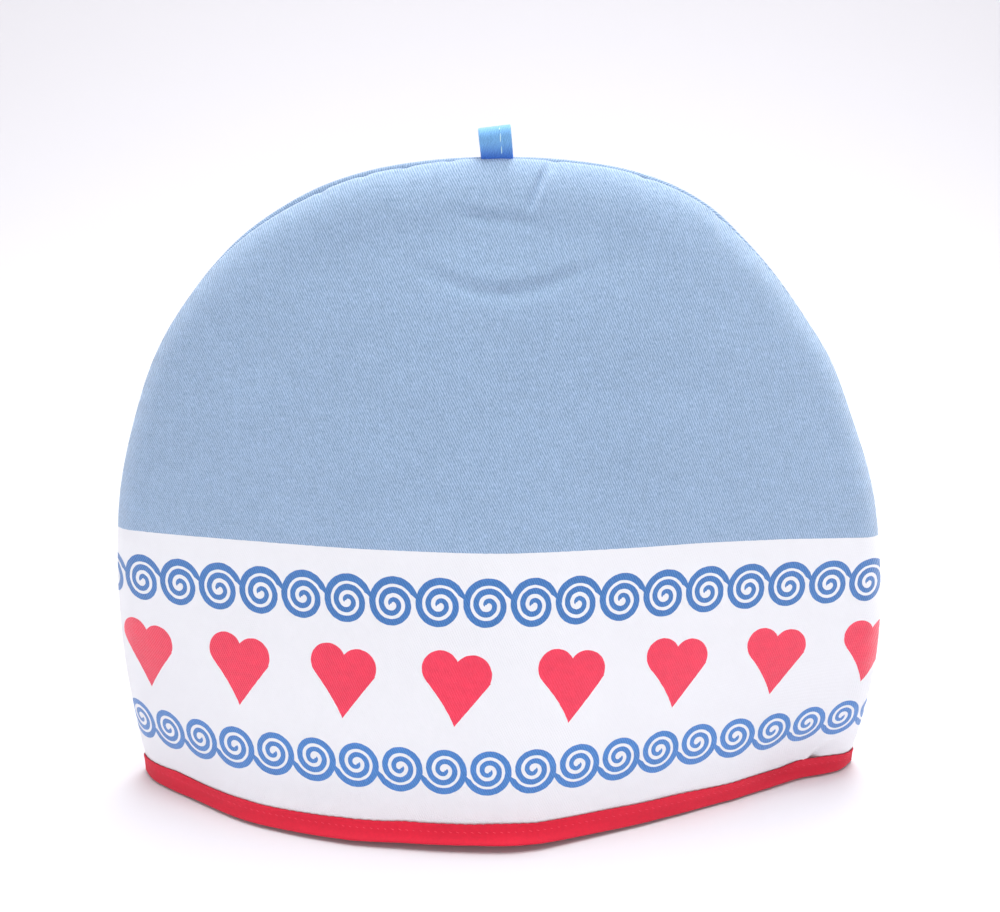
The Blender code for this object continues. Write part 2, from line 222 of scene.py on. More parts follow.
def crowded(share, spots):  # the same shares, drawn closer near each spot
    steps = np.linspace(0.0, 1.0, 2001)
    density = np.ones_like(steps)
    for place, reach, denser in spots:
        density += denser * np.exp(-((steps - place) / reach) ** 2)
    total = np.concatenate(([0.0], np.cumsum((density[1:] + density[:-1]) / 2.0)))
    return np.interp(share * total[-1], total, steps)


def pinch(z):  # 1 inside the binding, 0 above it
    return 1.0 - smoothStep((z - cosy["pinchTop"]) / cosy["pinchFade"])


def placed(x, y, z):  # from depths about the seam to metres, with the swing of the lowest part
    fade = np.maximum(1.0 - z / cosy["swingHeight"], 0.0) ** 2
    side = x / cosy["swingReach"]
    swing = cosy["swingMiddle"] + cosy["swingSide"] * side + cosy["swingCorners"] * side ** 8
    return np.column_stack((x, y + swing * fade + cosy["seamPlace"], z)) * mm


rimInset = 6.0  # from the seam to where the inside of the panel begins
outerLine = Outline(0.0)
innerLine = Outline(rimInset)
seam = SeamFinder()
sectionsByHeight = smoothCurve(sections)
sideSteps = np.linspace(-1.0, 1.0, 201)


def bowTable():  # a row of bows for each height, read by place between the seams
    rows = []
    for row in sectionsByHeight:
        points = [(-1.0, 0.0), (0.0, 1.0), (1.0, 0.0)] + list(zip(sectionPlaces, row[2:]))
        curve = smoothCurve(sorted(points))
        rows.append(np.interp(sideSteps, curve[:, 0], curve[:, 1]))
    return np.array(rows)


frontBows = bowTable()


def frontBow(side, z):
    heights = sectionsByHeight[:, 0]
    level = np.interp(z, heights, np.arange(len(heights)))
    place = (side + 1.0) / 2.0 * (len(sideSteps) - 1)
    return tableValue(frontBows, level, place)


# Folds: a path over the panel, how wide and deep its trough is, the ridge above it,
# and its strength from start to end
foldReach = 5.0   # how far a fold is felt and where its ridge stands, in widths
ridgePlace = 1.7
frontFolds = {
    "foldByLoop": {
        "path": ((17.4, 269.5), (15.4, 264.1), (13.6, 259.1), (11.6, 254.1), (9.2, 250.0)),
        "width": 1.5, "depth": 1.7, "ridge": 0.9, "strength": (0.0, 0.9, 1.0, 0.7, 0.0),
    },
    "dimple": {
        "path": ((-16.0, 250.4), (-10.0, 249.6), (-3.0, 248.9), (7.0, 248.2), (15.5, 247.2)),
        "width": 2.4, "depth": 1.05, "ridge": 0.3, "strength": (0.0, 0.8, 1.0, 0.8, 0.7, 0.0),
    },
    "arc": {
        "path": ((-38.0, 234.5), (-31.9, 231.5), (-22.5, 227.8), (-11.3, 224.0), (0.0, 222.6),
                 (11.2, 223.6), (18.0, 225.4), (26.2, 228.6), (36.7, 232.4), (44.0, 236.5)),
        "width": 2.6, "depth": 1.45, "ridge": 0.45,
        "strength": (0.0, 0.2, 0.55, 0.8, 1.0, 1.0, 0.85, 0.6, 0.25, 0.0),
    },
    "leftPinch": {
        "path": ((-31.5, 260.5), (-34.5, 255.5), (-38.5, 250.5)),
        "width": 1.8, "depth": 0.5, "ridge": 0.2, "strength": (0.6, 1.0, 0.0),
    },
    "cornerCrease": {
        "path": ((141.0, 8.5), (143.5, 12.5), (147.5, 16.5), (154.0, 19.5)),
        "width": 2.0, "depth": 1.7, "ridge": 0.8, "strength": (1.0, 1.0, 0.7, 0.0),
    },
}
backFolds = {
    "leftHang": {
        "path": ((-30.0, 262.0), (-38.0, 246.0), (-50.0, 228.0), (-66.0, 208.0)),
        "width": 3.4, "depth": 1.7, "ridge": 0.5, "strength": (0.0, 0.8, 1.0, 0.6, 0.0),
    },
    "rightHang": {
        "path": ((18.0, 267.0), (24.0, 255.0), (27.0, 242.0), (26.0, 228.0)),
        "width": 2.4, "depth": 1.4, "ridge": 0.5, "strength": (0.0, 0.9, 1.0, 0.5, 0.0),
    },
    "arc": {
        "path": ((-52.0, 214.0), (-22.0, 207.0), (12.0, 206.0), (48.0, 212.0)),
        "width": 3.4, "depth": 1.6, "ridge": 0.4, "strength": (0.0, 0.6, 1.0, 0.9, 0.4, 0.0),
    },
}


def foldDepth(x, z, folds):
    total = np.zeros_like(x)
    for fold in folds.values():
        path = smoothCurve(fold["path"])
        reach = foldReach * fold["width"]
        low = path.min(axis=0) - reach
        high = path.max(axis=0) + reach
        near = np.flatnonzero((x > low[0]) & (x < high[0]) & (z > low[1]) & (z < high[1]))
        if len(near) == 0:
            continue
        awayX = x[near][:, None] - path[:, 0]
        awayZ = z[near][:, None] - path[:, 1]
        gaps = np.hypot(awayX, awayZ)
        closest = gaps.argmin(axis=1)
        spots = np.arange(len(near))
        along = np.gradient(path, axis=0)[closest]
        above = along[:, 0] * awayZ[spots, closest] - along[:, 1] * awayX[spots, closest]
        aside = np.sign(above) * gaps[spots, closest] / fold["width"]
        places = np.linspace(0.0, len(path) - 1.0, len(fold["strength"]))
        strength = np.interp(closest, places, fold["strength"])
        ridge = fold["ridge"] * np.exp(-(aside - ridgePlace) ** 2)
        total[near] += strength * (fold["depth"] * np.exp(-aside ** 2) - ridge)
    return total


surface = {
    "puckerPitch": 11.0,     # gathers along the seam
    "puckerDepth": 0.28,
    "puckerReach": 9.0,
    "puckerDrift": (3.0, 37.0),   # how unevenly they are spaced: how much, over how long
    "puckerChange": (0.4, 24.0),  # and how unevenly deep
    "puckerFoot": 12.0,      # none below this height
    "puckerFade": 20.0,
    "padUnevenness": 0.35,   # wadding felt through the cloth
    "padSize": 46.0,
    "clothUnevenness": 0.08,
    "clothSize": 11.0,
    "edgeFade": 14.0,
}


def fineRelief(x, z, toSeam, alongSeam, seed):  # outward, over the plain bow
    middle = smoothStep(toSeam / surface["edgeFade"])
    pads = surface["padUnevenness"] * softNoise(x, z, surface["padSize"], seed)
    cloth = surface["clothUnevenness"] * softNoise(x, z, surface["clothSize"], seed + 3)
    drift = softWave(alongSeam, *surface["puckerDrift"], seed + 5)
    wave = np.sin(2.0 * math.pi * (alongSeam + drift) / surface["puckerPitch"])
    change = surface["puckerChange"]
    strength = 1.0 - change[0] + softWave(alongSeam, *change, seed + 7)
    nearSeam = np.exp(-(toSeam / surface["puckerReach"]) ** 2)
    puckers = surface["puckerDepth"] * wave * strength * nearSeam
    aboveHem = smoothStep((z - surface["puckerFoot"]) / surface["puckerFade"])
    return (pads + cloth) * (1.0 - pinch(z)) * middle + puckers * aboveHem


class Panel:
    def __init__(self, isFront):
        self.isFront = isFront
        self.sign = -1.0 if isFront else 1.0
        self.seed = 1 if isFront else 11
        self.folds = frontFolds if isFront else backFolds

    def depth(self, z):
        depth = np.interp(z, sectionsByHeight[:, 0], sectionsByHeight[:, 1])
        return depth if self.isFront else depth * cosy["backDepthShare"]

    def bow(self, side, z):
        side = np.clip(side, -1.0, 1.0)
        return frontBow(side, z) if self.isFront else 1.0 - side * side

    def plainOuter(self, x, z):  # without shoulder, folds and unevenness
        half, middle = outerLine.halfWidthAndMiddle(z)
        rise = np.maximum(self.depth(z) - cosy["shoulderDepth"] - cosy["bindingSink"] * pinch(z), 0.0)
        return cosy["shoulderDepth"] + rise * self.bow((x - middle) / half, z)

    def outer(self, x, z, relief=True):
        toSeam, alongSeam, outwards = seam.find(x, z)
        edge = np.minimum(toSeam / cosy["shoulderWidth"], 1.0)
        drop = (cosy["shoulderDepth"] - cosy["noseDepth"]) * (1.0 - edge) ** cosy["shoulderCurve"]
        full = np.exp(-((toSeam - cosy["fullnessPlace"]) / cosy["fullnessReach"]) ** 2)
        full = full * edge * np.maximum(outwards[:, 1], 0.0) ** cosy["fullnessPower"]
        y = self.plainOuter(x, z) - drop + cosy["fullness"] * full
        if relief:
            y = y - foldDepth(x, z, self.folds) + fineRelief(x, z, toSeam, alongSeam, self.seed)
        return y

    def inner(self, x, z):
        half, middle = innerLine.halfWidthAndMiddle(z)
        squeeze = pinch(z)
        thickness = cosy["padThickness"] * (1.0 - squeeze) + cosy["pinchedThickness"] * squeeze
        rise = self.depth(z) - thickness - cosy["bindingSink"] * squeeze
        y = rise * self.bow((x - middle) / half, z) - foldDepth(x, z, self.folds)
        return np.maximum(y, cosy["leastInside"])


panels = (Panel(True), Panel(False))


# How far each printed row lies from its level, in millimetres, from the left edge to the right
driftPlaces = (-160.0, -120.0, -80.0, -40.0, 0.0, 40.0, 80.0, 120.0, 160.0)
printDrift = (
    {"height": 33.8, "rise": (1.6, 1.25, 1.95, 0.5, 0.1, 0.3, 1.45, 0.1, 1.4),
     "aside": (3.1, 0.4, 0.6, 0.7, 0.5, 1.2, 0.1, 0.4, -1.7)},
    {"height": 66.0, "rise": (1.6, 1.05, 0.6, -0.3, -1.1, -0.6, 0.2, -0.05, -0.5),
     "aside": (-0.05, -0.6, -1.0, -0.8, 0.6, 1.6, 0.6, 0.3, 0.0)},
    {"height": 103.4, "rise": (1.05, 1.05, 0.5, -0.6, 0.0, -0.6, 0.1, -0.3, -1.5),
     "aside": (0.8, 0.4, 0.05, -0.05, 1.1, -0.1, -0.85, -1.7, -0.95)},
    {"height": 123.8, "rise": (2.0, 1.4, 0.75, 0.1, -0.45, -0.35, 0.05, -0.3, -1.9),
     "aside": (0.4, 0.3, 0.0, 0.0, 0.8, -0.2, -0.8, -1.5, -0.9)},
)


def driftOf(u, v, way):
    heights = [row["height"] for row in printDrift]
    rows = np.array([np.interp(u, driftPlaces, row[way]) for row in printDrift])
    level = np.interp(v, heights, np.arange(len(heights)))
    low = np.minimum(level.astype(int), len(heights) - 2)
    up = smoothStep(level - low)
    spots = np.arange(len(u))
    return rows[low, spots] * (1.0 - up) + rows[low + 1, spots] * up


cut = {
    "levels": 120,           # the table of lengths along the level threads
    "columns": 665,
    "reach": 166.0,
    "zeroPlace": -1.0,       # lengths are counted from here
    "rise": 1.004,           # the print stands this much higher than it was cut
    "sideRise": 0.026,       # and less at the sides
    "sideReach": 163.0,
}


def clothMap(panel, x, z):  # millimetres along the level thread and up the cloth, from the flat cut
    levels = np.linspace(0.0, cosy["topHeight"], cut["levels"])
    places = np.linspace(-cut["reach"], cut["reach"], cut["columns"])
    px, pz = np.meshgrid(places, levels)
    y = panel.plainOuter(px.ravel(), pz.ravel()).reshape(px.shape)
    run = np.hypot(np.diff(px, axis=1), np.diff(y, axis=1))
    lengths = np.concatenate((np.zeros((len(levels), 1)), np.cumsum(run, axis=1)), axis=1)
    start = np.array([np.interp(cut["zeroPlace"], places, row) for row in lengths])
    lengths -= start[:, None]
    level = np.clip(z / cosy["topHeight"], 0.0, 1.0) * (len(levels) - 1)
    place = np.clip((x + cut["reach"]) / (2.0 * cut["reach"]), 0.0, 1.0) * (len(places) - 1)
    u = tableValue(lengths, level, place)
    v = z / (cut["rise"] - cut["sideRise"] * (x / cut["sideReach"]) ** 2)
    return u - driftOf(u, v, "aside"), v - driftOf(u, v, "rise")


def finishedObject(bm, name, materials):
    bmesh.ops.recalc_face_normals(bm, faces=bm.faces[:])
    mesh = bpy.data.meshes.new(name)
    bm.to_mesh(mesh)
    bm.free()
    mesh.shade_smooth()
    for material in materials:
        mesh.materials.append(material)
    made = bpy.data.objects.new(name, mesh)
    bpy.context.scene.collection.objects.link(made)
    return made


def gridWithShares(columns, rows):  # the flat grid and each point's share across and up
    bm = bmesh.new()
    bmesh.ops.create_grid(bm, x_segments=columns, y_segments=rows, size=1.0)
    places = np.array([vert.co[:] for vert in bm.verts])
    return bm, (places[:, 0] + 1.0) / 2.0, (places[:, 1] + 1.0) / 2.0


def moveVerts(bm, places):
    for vert, place in zip(bm.verts, places):
        vert.co = place


def writeMap(bm, u, v):  # the cloth's two directions, which the materials read
    layer = bm.loops.layers.uv.new("cloth")
    bm.verts.index_update()
    for face in bm.faces:
        for loop in face.loops:
            i = loop.vert.index
            loop[layer].uv = (u[i] * mm, v[i] * mm)


class Signal:  # a socket whose arithmetic adds Math nodes
    def __init__(self, shade, socket):
        self.shade = shade
        self.socket = socket

    def math(self, operation, *others):
        return self.shade.math(operation, self, *others)

    def __add__(self, other):
        return self.math("ADD", other)

    __radd__ = __add__

    def __sub__(self, other):
        return self.math("SUBTRACT", other)

    def __rsub__(self, other):
        return self.shade.math("SUBTRACT", other, self)

    def __mul__(self, other):
        return self.math("MULTIPLY", other)

    __rmul__ = __mul__

    def __truediv__(self, other):
        return self.math("DIVIDE", other)

    def __gt__(self, other):
        return self.math("GREATER_THAN", other)

    def __lt__(self, other):
        return self.math("LESS_THAN", other)

    def limited(self):  # kept from 0 to 1
        return self.math("MAXIMUM", 0.0).math("MINIMUM", 1.0)


class Shade:  # one material and the nodes in it
    def __init__(self, name):
        self.material = bpy.data.materials.new(name)
        self.material.use_nodes = True
        self.tree = self.material.node_tree
        self.surface = self.tree.nodes["Principled BSDF"]

    def node(self, kind, settings=None, inputs=None):
        made = self.tree.nodes.new(kind)
        for key, value in (settings or {}).items():
            setattr(made, key, value)
        for key, value in (inputs or {}).items():
            self.feed(made.inputs[key], value)
        return made

    def feed(self, socket, value):
        if isinstance(value, Signal):
            value = value.socket
        if isinstance(value, bpy.types.NodeSocket):
            self.tree.links.new(value, socket)
        elif socket.type == "VECTOR":
            socket.default_value = value[:3]
        else:
            socket.default_value = value

    def math(self, operation, *values):
        made = self.node("ShaderNodeMath", {"operation": operation}, dict(enumerate(values)))
        return Signal(self, made.outputs[0])

    def largest(self, first, *rest):
        for other in rest:
            first = self.math("MAXIMUM", first, other)
        return first

    def length(self, a, b):
        return (a * a + b * b).math("SQRT")

    def edge(self, value, width):  # from 0 to 1 across the width, about nothing
        made = self.node("ShaderNodeMath", {"operation": "MULTIPLY_ADD", "use_clamp": True},
                         {0: value, 1: 1.0 / width, 2: 0.5})
        return Signal(self, made.outputs[0])

    def wave(self, value):  # from 0 to 1, once for each whole number
        return (value * (2.0 * math.pi)).math("COSINE") * 0.5 + 0.5

    def mix(self, factor, first, second):
        made = self.node("ShaderNodeMix", {"data_type": "RGBA"}, {0: factor, 6: first, 7: second})
        return made.outputs[2]

    def lighten(self, colour, factor):  # the colour times a value
        made = self.node("ShaderNodeVectorMath", {"operation": "SCALE"}, {0: colour, "Scale": factor})
        return made.outputs[0]

    def parts(self, vector, count):  # its first directions, in millimetres
        made = self.node("ShaderNodeSeparateXYZ", None, {0: vector})
        return [Signal(self, output) * (1.0 / mm) for output in made.outputs[:count]]

    def cloth(self):
        return self.parts(self.node("ShaderNodeUVMap", {"uv_map": "cloth"}).outputs[0], 2)

    def place(self, count):
        return self.parts(self.node("ShaderNodeTexCoord").outputs["Object"], count)

    def noise(self, across, up, size, detail=2.0, roughness=0.5):  # about 0.5, from 0 to 1
        place = self.node("ShaderNodeCombineXYZ", None, {0: across, 1: up})
        made = self.node("ShaderNodeTexNoise", {"noise_dimensions": "2D"},
                         {"Vector": place.outputs[0], "Scale": 1.0 / size, "Detail": detail,
                          "Roughness": roughness})
        return Signal(self, made.outputs[0])

    def finish(self, colour, roughness, height, bumpDistance, sheen):
        bump = self.node("ShaderNodeBump", None,
                         {"Strength": 1.0, "Distance": bumpDistance * mm, "Height": height})
        self.feed(self.surface.inputs["Base Color"], colour)
        self.feed(self.surface.inputs["Roughness"], roughness)
        self.feed(self.surface.inputs["Normal"], bump.outputs[0])
        self.surface.inputs["Sheen Weight"].default_value = sheen
        self.surface.inputs["Sheen Roughness"].default_value = 0.5
        self.surface.inputs["Specular IOR Level"].default_value = 0.3
        return self.material


def linear(red, green, blue):  # a screen colour, 0 to 255, as the shader's light
    def one(value):
        value = value / 255.0
        return value / 12.92 if value <= 0.04045 else ((value + 0.055) / 1.055) ** 2.4
    return (one(red), one(green), one(blue), 1.0)


# Printed twill: running spirals, hearts and the two grounds
twill = {
    "warpPitch": 0.247,     # millimetres between upright threads
    "weftPitch": 0.54,      # between level threads
    "over": 4.0,            # threads in one repeat
    "ribShare": 0.75,       # of the height, with the single threads for the rest
    "wander": 0.35,         # how far a rib strays, in ribs
    "bump": 0.16,
}
# Unevenness: squeeze across and up, size, detail, roughness
unevenness = {
    "flecks": (1.0, 0.35, 0.5, 2.0, 0.6),    # single threads, paler or deeper
    "streaks": (0.12, 1.0, 1.1, 3.0, 0.5),   # level threads
    "slubs": (1.0, 0.12, 1.3, 3.0, 0.5),     # upright ones
    "patches": (1.0, 1.4, 5.0, 2.0, 0.5),
    "clouds": (1.0, 1.6, 38.0, 3.0, 0.5),
}
printed = {
    "groundEdge": 123.8,    # blue above, white below
    "groundPale": linear(181, 206, 235),  # the raised threads of the blue ground
    "groundDeep": linear(120, 150, 184),
    "groundWhite": linear(239, 239, 243),
    "inkBlue": linear(47, 108, 179),
    "inkBluePale": linear(77, 136, 203),
    "lowerInkLight": 1.17,       # painted light: the lower row's ink is made paler, as the lower cloth gets more light
    "inkRed": linear(245, 42, 76),
    "inkRedPale": linear(252, 64, 98),
    "upperRow": {"centre": 102.95, "pitch": 18.34, "first": -152.03},
    "lowerRow": {"centre": 33.75, "pitch": 18.07, "first": -148.23},
    "hearts": {"tip": 52.9, "pitch": 45.2, "first": -153.2},
    "stretch": 1.066,       # the motifs are this much taller than wide
    "inkEdge": 0.2,
    "inkSpread": 0.09,
    "inkStray": 0.3,        # the edge follows the threads
    "inkStraySize": 2.2,
    "raised": {"rib": 0.56, "flecks": 1.0, "streaks": 0.16, "slubs": 0.26},  # what lifts a thread's tone
    "patchTone": 0.14,
    "cloudTone": 0.11,
    "whiteTone": 0.02,
    "roughness": 0.86,
    "sheen": 0.6,
}
spiral = {
    "outerStart": 2.46,     # radius of the outer edge as the line passes the top, then its growth
    "outerGrowth": 3.84,
    "innerStart": 0.78,
    "innerGrowth": 3.41,
    "tipTurn": -0.31,       # where the line starts, in turns, and where its width is full
    "tipEnd": -0.12,
    "tipTaper": 8.0,
    "tailFrom": 2.0,        # the tail reaches into the next motif from here
    "tailTurn": 2.175,      # where it begins to run out
    "tailEnd": 2.245,
    "tailTaper": 31.0,
    "tailReach": 10.5,
    "centreAside": 0.5,     # the winding's middle, from the middle of the motif
}
heart = {
    "leftLobe": (-4.96, 22.5, 7.31),   # from the tip: aside, up and radius
    "rightLobe": (7.38, 20.8, 7.5),
    "bodyTop": 17.7,
    "leftSlope": 0.35,
    "leftBend": 0.014,
    "rightSlope": 0.82,
}


def spiralMark(shade, aside, up, tailOnly):
    aside = aside - spiral["centreAside"]
    up = up / printed["stretch"]
    radius = shade.length(aside, up)
    turn = (aside.math("ARCTAN2", up) / (2.0 * math.pi) + 1.0).math("FRACT")
    spread = printed["inkSpread"]
    edge = printed["inkEdge"]
    step = ((radius - spiral["outerStart"] - spread - edge) / spiral["outerGrowth"] - turn).math("CEIL")
    turns = turn + step
    outer = turns * spiral["outerGrowth"] + (spiral["outerStart"] + spread)
    inner = turns * spiral["innerGrowth"] + (spiral["innerStart"] - spread)
    inner = inner + (turns - spiral["tailTurn"]).math("MAXIMUM", 0.0) * spiral["tailTaper"]
    inner = inner + (spiral["tipEnd"] - turns).math("MAXIMUM", 0.0) * spiral["tipTaper"]
    mark = shade.edge(outer - radius, edge) * shade.edge(radius - inner, edge)
    mark = mark * (turns < spiral["tailEnd"]) * shade.edge(spiral["tailReach"] - radius, edge)
    return mark * (turns > spiral["tailFrom" if tailOnly else "tipTurn"])


def spiralRows(shade, u, v):
    upper = printed["upperRow"]
    lower = printed["lowerRow"]
    isUpper = v > (upper["centre"] + lower["centre"]) / 2.0
    pitch, first, centre = (isUpper * (upper[key] - lower[key]) + lower[key]
                            for key in ("pitch", "first", "centre"))
    way = isUpper * 2.0 - 1.0  # the lower row is the upper one turned half round
    place = (u - first) / pitch
    aside = ((place + 0.5).math("FRACT") - 0.5) * way
    up = (v - centre) * way
    own = spiralMark(shade, aside * pitch, up, False)
    tail = spiralMark(shade, (aside + 1.0) * pitch, up, True)
    return shade.largest(own, tail)


def heartRow(shade, u, v):
    row = printed["hearts"]
    place = ((u - row["first"]) / row["pitch"] + 0.5).math("FRACT") - 0.5
    aside = place * row["pitch"]
    up = (v - row["tip"]) / printed["stretch"]
    edge = printed["inkEdge"]
    marks = []
    for lobeAside, lobeUp, lobeRadius in (heart["leftLobe"], heart["rightLobe"]):
        away = shade.length(aside - lobeAside, up - lobeUp)
        marks.append(shade.edge(lobeRadius - away, edge))
    left = aside + up * heart["leftSlope"] + up * up * heart["leftBend"]
    right = up * heart["rightSlope"] - aside
    body = shade.edge(left, edge) * shade.edge(right, edge) * (up > 0.0) * (up < heart["bodyTop"])
    return shade.largest(body, *marks)


def twillHeight(shade, u, v):  # 0 in the grooves, 1 on the floats
    diagonal = u / (twill["over"] * twill["warpPitch"]) + v / (twill["over"] * twill["weftPitch"])
    rib = shade.wave(diagonal + shade.noise(u, v * 0.4, 1.6, 1.0) * twill["wander"])
    warp = shade.wave(u / twill["warpPitch"])
    return rib, rib * twill["ribShare"] + warp * (1.0 - twill["ribShare"])


def printedCotton():
    shade = Shade("printedCotton")
    u, v = shade.cloth()
    elsewhere = v + 400.0  # so that the ink strays up and aside on its own
    inkU = u + (shade.noise(u, v, printed["inkStraySize"]) - 0.5) * printed["inkStray"]
    inkV = v + (shade.noise(u, elsewhere, printed["inkStraySize"]) - 0.5) * printed["inkStray"]
    spirals = spiralRows(shade, inkU, inkV)
    hearts = heartRow(shade, inkU, inkV)
    blue = shade.edge(inkV - printed["groundEdge"], printed["inkEdge"])
    rib, height = twillHeight(shade, u, v)
    uneven = {"rib": rib - 0.5}
    for name, (across, up, size, detail, roughness) in unevenness.items():
        uneven[name] = shade.noise(u * across, v * up, size, detail, roughness) - 0.5
    raised = 0.5
    for name, share in printed["raised"].items():
        raised = uneven[name] * share + raised
    raised = raised.limited()
    ground = shade.mix(raised, printed["groundDeep"], printed["groundPale"])
    colour = shade.mix(blue, printed["groundWhite"], ground)
    blueInk = shade.mix(raised, printed["inkBlue"], printed["inkBluePale"])
    # painted light: the lower row's ink made paler
    blueInk = shade.lighten(blueInk, (v < printed["hearts"]["tip"]) * (printed["lowerInkLight"] - 1.0) + 1.0)
    colour = shade.mix(spirals, colour, blueInk)
    colour = shade.mix(hearts, colour, shade.mix(raised, printed["inkRed"], printed["inkRedPale"]))
    inked = shade.largest(spirals, hearts)
    drift = uneven["patches"] * printed["patchTone"] + uneven["clouds"] * printed["cloudTone"]
    tone = 1.0 + drift * (inked + blue).math("MINIMUM", 1.0) + uneven["rib"] * printed["whiteTone"]
    roughness = printed["roughness"] - rib * 0.08 + uneven["clouds"] * 0.06
    height = height * (shade.largest(inked, blue) * 0.5 + 0.5)  # the white ground shows its ribs half as much
    return shade.finish(shade.lighten(colour, tone), roughness, height, twill["bump"], printed["sheen"])


weave = {
    "toneDepth": 0.16,
    "heatherSize": 1.5,
    "cloudSize": 24.0,
    "roughness": 0.85,
}


def plainWeave(name, colour, pitch, bumpHeight, sheen, bias=False, paintedShadeBands=()):
    shade = Shade(name)
    u, v = shade.cloth()
    # painted shade: darker bands along the cloth, from the listed bands
    paintedShade = 1.0
    for low, high, soft, shadeTone in paintedShadeBands:  # painted shade, darker there along the cloth
        away = (v - (low + high) / 2.0).math("ABSOLUTE")
        paintedShade = paintedShade * (shade.edge((high - low) / 2.0 - away, soft) * (shadeTone - 1.0) + 1.0)
    if bias:  # cut slantwise
        halfRight = 0.7071
        u, v = (u + v) * halfRight, (v - u) * halfRight
    over = shade.wave(u / pitch)
    under = shade.wave(v / pitch)
    checker = over * under + (1.0 - over) * (1.0 - under)
    heather = shade.noise(u, v, weave["heatherSize"], 3.0, 0.6)
    clouds = shade.noise(u, v, weave["cloudSize"])
    tone = 1.0 + ((checker - 0.5) * 0.5 + heather + clouds - 1.0) * weave["toneDepth"]
    roughness = weave["roughness"] - checker * 0.08 + (clouds - 0.5) * 0.05
    height = checker * 0.8 + heather * 0.4
    return shade.finish(shade.lighten(colour, tone * paintedShade), roughness, height, bumpHeight, sheen)


sewing = {
    "plyPitch": 0.35,
    "fuzzSize": 0.5,
    "bump": 0.03,
}


def thread(name, colour):  # plies twisted round the stitch
    shade = Shade(name)
    x, y, z = shade.place(3)
    ply = shade.wave((x + y + z) / sewing["plyPitch"])
    fuzz = shade.noise(x + y, z, sewing["fuzzSize"])
    tone = 0.92 + ply * 0.16 + (fuzz - 0.5) * 0.2
    return shade.finish(shade.lighten(colour, tone), 0.7 + fuzz * 0.1, ply, sewing["bump"], 0.0)


# The two padded panels
panelCut = {
    "frontGrid": (210, 150),
    "backGrid": (140, 100),
    # where the grid is denser: place, reach and how much
    "crowdAcross": ((0.0, 0.03, 1.5), (0.548, 0.035, 1.8), (1.0, 0.03, 1.5)),
    "crowdUp": ((0.0, 0.03, 0.8), (0.95, 0.06, 1.3)),
    "rimTurn": (0.0, 0.2, 0.4, 0.6, 0.8, 1.0),  # shares of the quarter turn from the nose to the seam
    "rimInsetAtSeam": 1.8,
    "seamTouch": 0.05,        # from the plane between the panels
    "rimInside": (4.0, rimInset),
    "hemFoot": (2.0, 1.7, 1.45, 1.3, 1.22, 1.2, 1.35, 2.0),  # where each layer ends in the binding
    "overEdge": 0.6,          # the cloth's extra length over the padded edge
    "innerColour": linear(236, 232, 222),
    "innerWeave": (0.5, 0.12, 0.2),  # thread pitch, bump and sheen
}
# The front edge lies a little below the back one over the top: place across and how far
frontDrop = (
    (-130, 0.0), (-115, 0.5), (-95, 1.2), (-75, 1.9), (-51, 1.3), (-34, 1.4), (-16, 0.6), (0, 0.4),
    (21, 0.8), (46, 0.8), (55, 1.1), (91, 1.0), (115, 0.5), (130, 0.0),
)
topEdge = {
    "pinches": (-68.0, -51.4, -35.7, -18.6, 20.8, 54.5, 84.0),
    "pinchDepth": 0.5,
    "pinchWidth": 1.8,
    "reach": 14.0,           # how far in from the seam the drop is felt
    "foot": 120.0,           # it begins at this height
    "fade": 60.0,
}


def dropFront(x, z):
    places = np.array(frontDrop)
    toSeam, _, outwards = seam.find(x, z)
    drop = np.interp(x, *places.T)
    for place in topEdge["pinches"]:
        drop = drop + topEdge["pinchDepth"] * np.exp(-((x - place) / topEdge["pinchWidth"]) ** 2)
    drop = drop * (1.0 - smoothStep(toSeam / topEdge["reach"]))
    drop = drop * smoothStep((z - topEdge["foot"]) / topEdge["fade"])
    return x - outwards[:, 0] * drop, z - outwards[:, 1] * drop


def rimLayers():  # inset from the outline, depth and foot of each layer round the edge
    layers = []
    reach = panelCut["rimInsetAtSeam"]
    touch = panelCut["seamTouch"]
    for share in panelCut["rimTurn"]:
        angle = share * math.pi / 2.0
        depth = cosy["noseDepth"] - (cosy["noseDepth"] - touch) * math.sin(angle)
        layers.append((reach * (1.0 - math.cos(angle)), depth))
    layers += [(inset, touch) for inset in panelCut["rimInside"]]
    return [(inset, depth, foot) for (inset, depth), foot in zip(layers, panelCut["hemFoot"])]


def panelShell(grid, last):  # outside and inside, with each point's shares and its layer of the rim
    bm, across, up = gridWithShares(*grid)
    acrossLayer = bm.verts.layers.float.new("across")
    upLayer = bm.verts.layers.float.new("up")
    through = bm.verts.layers.float.new("through")
    for vert, a, b in zip(bm.verts, across, up):
        vert[acrossLayer] = a
        vert[upLayer] = b
    drawn = bmesh.ops.extrude_face_region(bm, geom=bm.faces[:], use_keep_orig=True)
    for item in drawn["geom"]:
        if isinstance(item, bmesh.types.BMVert):
            item[through] = 1.0
    rim = [edge for edge in bm.edges if edge.verts[0][through] != edge.verts[1][through]]
    bmesh.ops.subdivide_edges(bm, edges=rim, cuts=last - 1)
    for face in bm.faces:
        face.material_index = 1 if min(vert[through] for vert in face.verts) > 0.9 else 0
    across = np.array([vert[acrossLayer] for vert in bm.verts])
    up = np.array([vert[upLayer] for vert in bm.verts])
    return bm, across, up, np.array([round(vert[through] * last) for vert in bm.verts])


